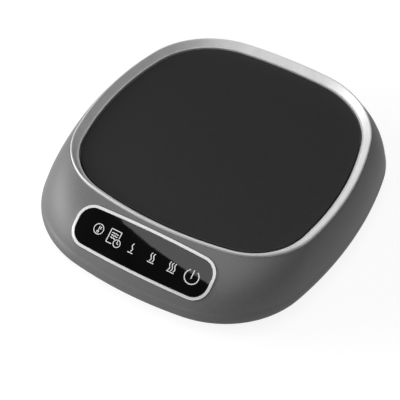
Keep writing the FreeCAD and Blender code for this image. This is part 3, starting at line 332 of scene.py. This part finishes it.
# %% [markdown]
# ## Leads, ribbon and connectors
#
# The leads are insulated in silicone rubber or glass sleeve. The ribbon is a row of
# 1.27 mm conductors, so a wave pattern of that pitch runs across it. Nylon connectors
# are off-white and slightly waxy.

# %% Finishes: leads and connectors
finish("lead_red", "silicone_lead_red", "#8a1f18", "#a52b21", size_mm=0.9,
       rough=(0.45, 0.58), depth_mm=0.004)
finish("lead_white", "glass_sleeve_lead_white", "#cdcac2", "#e8e5dd", size_mm=0.6,
       rough=(0.60, 0.75), depth_mm=0.012)
finish("ribbon_grey", "pvc_ribbon_grey", "#6f7274", "#9a9da0", size_mm=1.27,
       rough=(0.42, 0.55), depth_mm=0.030, kind="ShaderNodeTexWave",
       contrast=(0.0, 1.0), stretch=(0.16, 0.16, 0.16))
finish("connector_nylon", "moulded_nylon", "#d8d4c6", "#e9e6db", size_mm=1.2,
       rough=(0.42, 0.52), depth_mm=0.003, shader={"IOR": 1.53})
print("lead finishes made:", len(finishes))

# %% [markdown]
# ## Boards and their parts
#
# The boards are glass-filled epoxy under green solder mask, and the weave of the
# glass shows through it as a faint grid. Chips are black epoxy with a matt moulded
# face. The transformer has a dark ferrite core and a copper winding, whose turns are
# a wave pattern of the wire's diameter.

# %% Finishes: boards, chips and lights
finish("board_green", "solder_mask_green", "#14492c", "#1e6a3f", size_mm=0.9,
       rough=(0.30, 0.42), depth_mm=0.006, kind="ShaderNodeTexVoronoi",
       contrast=(0.0, 0.8))
finish("chip_epoxy", "moulded_chip_epoxy", "#17171a", "#222226", size_mm=0.4,
       rough=(0.50, 0.64), depth_mm=0.006)
finish("led_resin", "clear_led_resin", "#d9dccf", "#f0f2e8", size_mm=1.0,
       rough=(0.10, 0.18), depth_mm=0.001, shader={"IOR": 1.54})
finish("white_diffuser", "opal_acrylic_diffuser", "#e4e4e2", "#f4f4f2", size_mm=2.0,
       rough=(0.40, 0.50), depth_mm=0.002, shader={"IOR": 1.49})
finish("sensor_glass", "glass_bead_sensor", "#7d3a20", "#96492a", size_mm=0.8,
       rough=(0.10, 0.20), depth_mm=0.002, shader={"IOR": 1.52})

# %% Finishes: wound and dipped parts
finish("core_ferrite", "sintered_ferrite", "#2a2a2c", "#3b3b3d", size_mm=0.7,
       rough=(0.50, 0.66), depth_mm=0.012)
finish("copper_winding", "enamelled_copper_wire", "#8c4a22", "#c47a3e", size_mm=0.5,
       rough=(0.22, 0.34), depth_mm=0.060, metallic=0.9, kind="ShaderNodeTexWave",
       contrast=(0.0, 1.0), stretch=(0.16, 0.16, 0.16))
finish("can_sleeve", "heat_shrunk_sleeve", "#1b2f55", "#26407a", size_mm=2.0,
       rough=(0.28, 0.38), depth_mm=0.004)
finish("film_yellow", "dipped_film_yellow", "#c79a1c", "#dcb13a", size_mm=1.4,
       rough=(0.30, 0.42), depth_mm=0.010)
print("finishes made:", len(finishes))

# %% [markdown]
# ## Dressing the solids
#
# Each solid already names the material slot that it takes its finish from. So the
# finishes go on by that name, into the slots of the solid's own object, and the solid
# itself is not touched.

# %% Put each finish on its solids
for part in frame["record"]["subparts"]:
    solid = frame["nodes"][part["node"]]
    if not solid.material_slots:
        solid.data.materials.append(None)
    for holder in solid.material_slots:
        holder.material = finishes[part["material_slot"]]

# %% [markdown]
# ## Printed marks on the touch panel
#
# Six white marks are silk-screened on the lens: a ringed mark, a sheet with a clock,
# one, two and three heat waves over a bar, and the usual power sign. Silk-screen ink
# is a film a few hundredths of a millimetre thick. A texture could draw it, but real
# strokes of thin geometry stay sharp at any distance, and they follow the lens's slight
# curve, because each point is dropped on the lens along the panel's own direction.

# %% The panel's directions, and dropping a point on the lens
panel_middle = Vector((0, -56.6, 20.5)) * MM
panel_tilt = math.radians(36.4)
panel_right = Vector((1, 0, 0))
panel_up = Vector((0, math.cos(panel_tilt), math.sin(panel_tilt)))
panel_out = panel_right.cross(panel_up)
lens = frame["nodes"]["control_lens"]
lens_faces = BVHTree.FromPolygons(
    [vertex.co.copy() for vertex in lens.data.vertices],
    [tuple(polygon.vertices) for polygon in lens.data.polygons],
)
ink_film = 0.03 * MM
drop_height = 6


def on_lens(across, along):
    """The point of the lens's face at that place of the panel, given in millimetres."""
    above = panel_middle + (panel_right * across + panel_up * along + panel_out * drop_height) * MM
    found = lens_faces.ray_cast(above, -panel_out)[0]
    if found is None:
        raise ValueError(f"no lens under {across}, {along}")
    return found


print("lens face at the middle, mm:", [round(value / MM, 2) for value in on_lens(0, 0)])

# %% A stroke of ink
INK_STEP = 0.4
round_end = [math.radians(angle) for angle in (85, 60, 30)]


def stroke(ink, line, width, closed=False):
    """Lays a ribbon of ink of even width, with round ends, along points in millimetres."""
    corners = [Vector(point) for point in line]
    ends = corners[1:] + (corners[:1] if closed else [])
    points = []
    for start, end in zip(corners, ends):
        pieces = max(1, math.ceil((end - start).length / INK_STEP))
        points += [start.lerp(end, piece / pieces) for piece in range(pieces)]
    if not closed:
        points.append(corners[-1])
    last = len(points) - 1
    rows = []
    for number, point in enumerate(points):
        behind = points[number - 1] if number or closed else point
        ahead = points[(number + 1) % len(points)] if number < last or closed else point
        along = (ahead - behind).normalized()
        rows.append((point, along, width / 2))
    if not closed:
        start, first_way, half = rows[0]
        end, last_way, half = rows[-1]
        head = [(start - first_way * half * math.sin(a), first_way, half * math.cos(a)) for a in round_end]
        tail = [(end + last_way * half * math.sin(a), last_way, half * math.cos(a)) for a in round_end]
        rows = head + rows + tail[::-1]
    rails = []
    for point, along, half in rows:
        side = Vector((-along.y, along.x)) * half
        rails.append([ink.verts.new(on_lens(*spot)) for spot in (point + side, point, point - side)])
    pairs = list(zip(rails, rails[1:])) + ([(rails[-1], rails[0])] if closed else [])
    for one, two in pairs:
        for left, right in ((0, 1), (1, 2)):
            ink.faces.new((one[left], one[right], two[right], two[left]))


def arc(middle, radius, start, stop, steps=28):
    """Points of an arc in millimetres, its angles in degrees from the panel's right."""
    angles = [math.radians(start + (stop - start) * step / steps) for step in range(steps + 1)]
    return [(middle[0] + radius * math.cos(a), middle[1] + radius * math.sin(a)) for a in angles]


def circle(middle, radius, steps=36):
    """Points of a whole circle, without its first point twice."""
    return arc(middle, radius, 0, 360, steps)[:-1]


# %% The ink itself
ink_white = finish(
    "printed_ink", "silk_screen_ink_white", "#f2f2f2", "#fdfdfd", size_mm=0.5,
    rough=(0.40, 0.52), depth_mm=0.004,
)


def print_mark(name, strokes, width=0.36):
    """Prints one mark: its strokes become a thin raised film that rides on the body."""
    ink = bmesh.new()
    for line, closed in strokes:
        stroke(ink, line, width, closed)
    raised = bmesh.ops.extrude_face_region(ink, geom=ink.faces[:])["geom"]
    lifted = [item for item in raised if isinstance(item, bmesh.types.BMVert)]
    for vertex in ink.verts:
        vertex.co -= panel_out * ink_film * 0.5
    for vertex in lifted:
        vertex.co += panel_out * ink_film * 1.5
    bmesh.ops.recalc_face_normals(ink, faces=ink.faces[:])
    mesh = bpy.data.meshes.new(name)
    ink.to_mesh(mesh)
    ink.free()
    mesh.materials.append(ink_white)
    mark = bpy.data.objects.new(name, mesh)
    bpy.context.scene.collection.objects.link(mark)
    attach(mark, "root")
    print(name, "faces:", len(mesh.polygons))


# %% [markdown]
# The first mark is a ring with a small generic thermometer in it, because a warmer's
# first key shows or steps the temperature. The second is a sheet of paper with a clock
# at its corner, for the timer.

# %% Marks: temperature and timer
ring_middle = (-18.57, 0.19)
thermometer_foot = (ring_middle[0], ring_middle[1] - 0.95)
print_mark("mark_temperature", [
    (circle(ring_middle, 1.95), True),
    (circle(thermometer_foot, 0.36, 16), True),
    ([(ring_middle[0], ring_middle[1] - 0.5), (ring_middle[0], ring_middle[1] + 1.1)], False),
    ([(ring_middle[0] + 0.45, ring_middle[1] + 0.9), (ring_middle[0] + 0.85, ring_middle[1] + 0.9)], False),
    ([(ring_middle[0] + 0.45, ring_middle[1] + 0.3), (ring_middle[0] + 0.85, ring_middle[1] + 0.3)], False),
], width=0.3)


def ripple(left, right, height, sway=0.16, steps=12):
    """A level wavy line, as for steam on the sheet, in millimetres."""
    return [
        (left + (right - left) * step / steps, height + sway * math.sin(4 * math.pi * step / steps))
        for step in range(steps + 1)
    ]


clock_middle = (-9.65, -1.85)
sheet_left, sheet_right, sheet_top, sheet_foot = -13.9, -9.6, 2.5, -2.7
print_mark("mark_timer", [
    ([(-11.7, sheet_foot), (sheet_left, sheet_foot), (sheet_left, sheet_top),
      (sheet_right, sheet_top), (sheet_right, 0.1)], False),
    (ripple(sheet_left + 0.9, sheet_right - 0.9, 1.2), False),
    (ripple(sheet_left + 0.9, sheet_right - 0.9, 0.3), False),
    (ripple(sheet_left + 0.9, sheet_right - 1.5, -0.6), False),
    (circle(clock_middle, 1.4, 24), True),
    ([(clock_middle[0], clock_middle[1] + 0.8), clock_middle,
      (clock_middle[0] + 0.6, clock_middle[1])], False),
], width=0.32)

# %% [markdown]
# The heat marks are waves that rise from a bar. One function gives the line of a
# wave, and the three marks differ only in how many waves they have.

# %% Marks: low, medium and high heat
def heat_wave(across, foot=-2.05, top=0.85, sway=0.3, steps=18):
    """The line of one rising wave of heat, in millimetres."""
    return [
        (across + sway * math.sin(2 * math.pi * step / steps), foot + (top - foot) * step / steps)
        for step in range(steps + 1)
    ]


for name, middle, waves, half_bar in (
    ("mark_low_heat", -3.5, [0.0], 0.95),
    ("mark_medium_heat", 4.95, [-0.55, 0.55], 1.15),
    ("mark_high_heat", 13.1, [-1.05, 0.0, 1.05], 1.35),
):
    bar = [(middle - half_bar, -2.6), (middle + half_bar, -2.6)]
    print_mark(name, [(heat_wave(middle + offset), False) for offset in waves] + [(bar, False)])

# %% Mark: power
power_middle = (20.98, -0.8)
print_mark("mark_power", [
    (arc(power_middle, 2.65, 125, 415, 44), False),
    ([(power_middle[0], power_middle[1] - 0.6), (power_middle[0], power_middle[1] + 2.5)], False),
], width=0.4)

# %% [markdown]
# ## The studio
#
# The warmer stands on a wide pale floor that curls up far behind it, as photographers'
# paper does. The light is that of a product studio: a low softbox at the left as the
# key, a larger and dimmer one overhead to the front, and a little light from all
# round. The overhead one is turned so that its straight edge crosses the gloss lens as
# a slanting line, which is what tells the eye that the panel is glossy. The floor gets
# some light of its own where the camera or a mirror sees it, so that it reads as white,
# and its own shading stays under that, so that the warmer keeps its shadow.

# %% Floor and backdrop in one sweep
sweep = bmesh.new()
profile = [(0.4, 0), (0.9, 0), (1.6, 0), (2.2, 0.01), (2.6, 0.05), (2.9, 0.16), (3.0, 0.3)]
around = 96
rings = []
for radius, rise in profile:
    rings.append([
        sweep.verts.new((radius * math.cos(2 * math.pi * step / around),
                         radius * math.sin(2 * math.pi * step / around), rise - 0.02 * MM))
        for step in range(around)
    ])
sweep.faces.new(rings[0])
for inner, outer in zip(rings, rings[1:]):
    for step in range(around):
        after = (step + 1) % around
        sweep.faces.new((inner[step], outer[step], outer[after], inner[after]))
bmesh.ops.recalc_face_normals(sweep, faces=sweep.faces[:])
floor_mesh = bpy.data.meshes.new("paper_sweep")
sweep.to_mesh(floor_mesh)
sweep.free()
floor = bpy.data.objects.new("paper_sweep", floor_mesh)
for polygon in floor_mesh.polygons:
    polygon.use_smooth = True
bpy.context.scene.collection.objects.link(floor)
print("sweep reaches", profile[-1][0], "m")

# %% The sweep's paper
paper_glow = 0.87
paper = finish(
    "paper", "matt_studio_paper", "#828281", "#8a8a89", size_mm=1.5,
    rough=(0.85, 0.95), depth_mm=0.0,
)
tree = paper.node_tree
surface = tree.nodes["Principled BSDF"]
seen = add(tree, "ShaderNodeLightPath", {})
camera_or_mirror = add(tree, "ShaderNodeMath", {
    0: seen.outputs["Is Camera Ray"], 1: seen.outputs["Is Glossy Ray"],
}, operation="MAXIMUM")
any_view = add(tree, "ShaderNodeMath", {
    0: camera_or_mirror.outputs[0], 1: seen.outputs["Is Transmission Ray"],
}, operation="MAXIMUM")
glow = add(tree, "ShaderNodeMath", {0: any_view.outputs[0], 1: paper_glow}, operation="MULTIPLY")
surface.inputs["Emission Color"].default_value = (1, 1, 1, 1)
tree.links.new(glow.outputs[0], surface.inputs["Emission Strength"])
floor_mesh.materials.append(paper)

# %% A softbox
def softbox(name, direction, distance, size, brightness, lean=0):
    """An area light, size in metres, that looks at the warmer. A brightness of 1 looks white."""
    lamp = bpy.data.lights.new(name, "AREA")
    lamp.shape = "RECTANGLE"
    lamp.size, lamp.size_y = size
    lamp.energy = brightness * math.pi * size[0] * size[1]
    holder = bpy.data.objects.new(name, lamp)
    way = Vector(direction).normalized()
    holder.location = Vector((0, 0, 0.02)) + way * distance
    turned = way.to_track_quat("Z", "Y") @ Quaternion((0, 0, 1), math.radians(lean))
    holder.rotation_euler = turned.to_euler()
    bpy.context.scene.collection.objects.link(holder)
    print(name, "power:", round(lamp.energy, 2), "W")


# %% Lamps and world
softbox("key_left", direction=(-0.885, -0.34, 0.31), distance=1.0, size=(0.7, 0.42), brightness=9.4)
softbox("panel_card", direction=(0.07, -0.34, 1.0), distance=1.06, size=(1.04, 0.64), brightness=2.1,
        lean=-50)
world_level = 0.06
world = bpy.data.worlds.new("studio_world")
world.use_nodes = True
bpy.context.scene.world = world
world.node_tree.nodes["Background"].inputs["Color"].default_value = linear("#ffffff")
world.node_tree.nodes["Background"].inputs["Strength"].default_value = world_level
bpy.context.scene.view_settings.view_transform = "Standard"
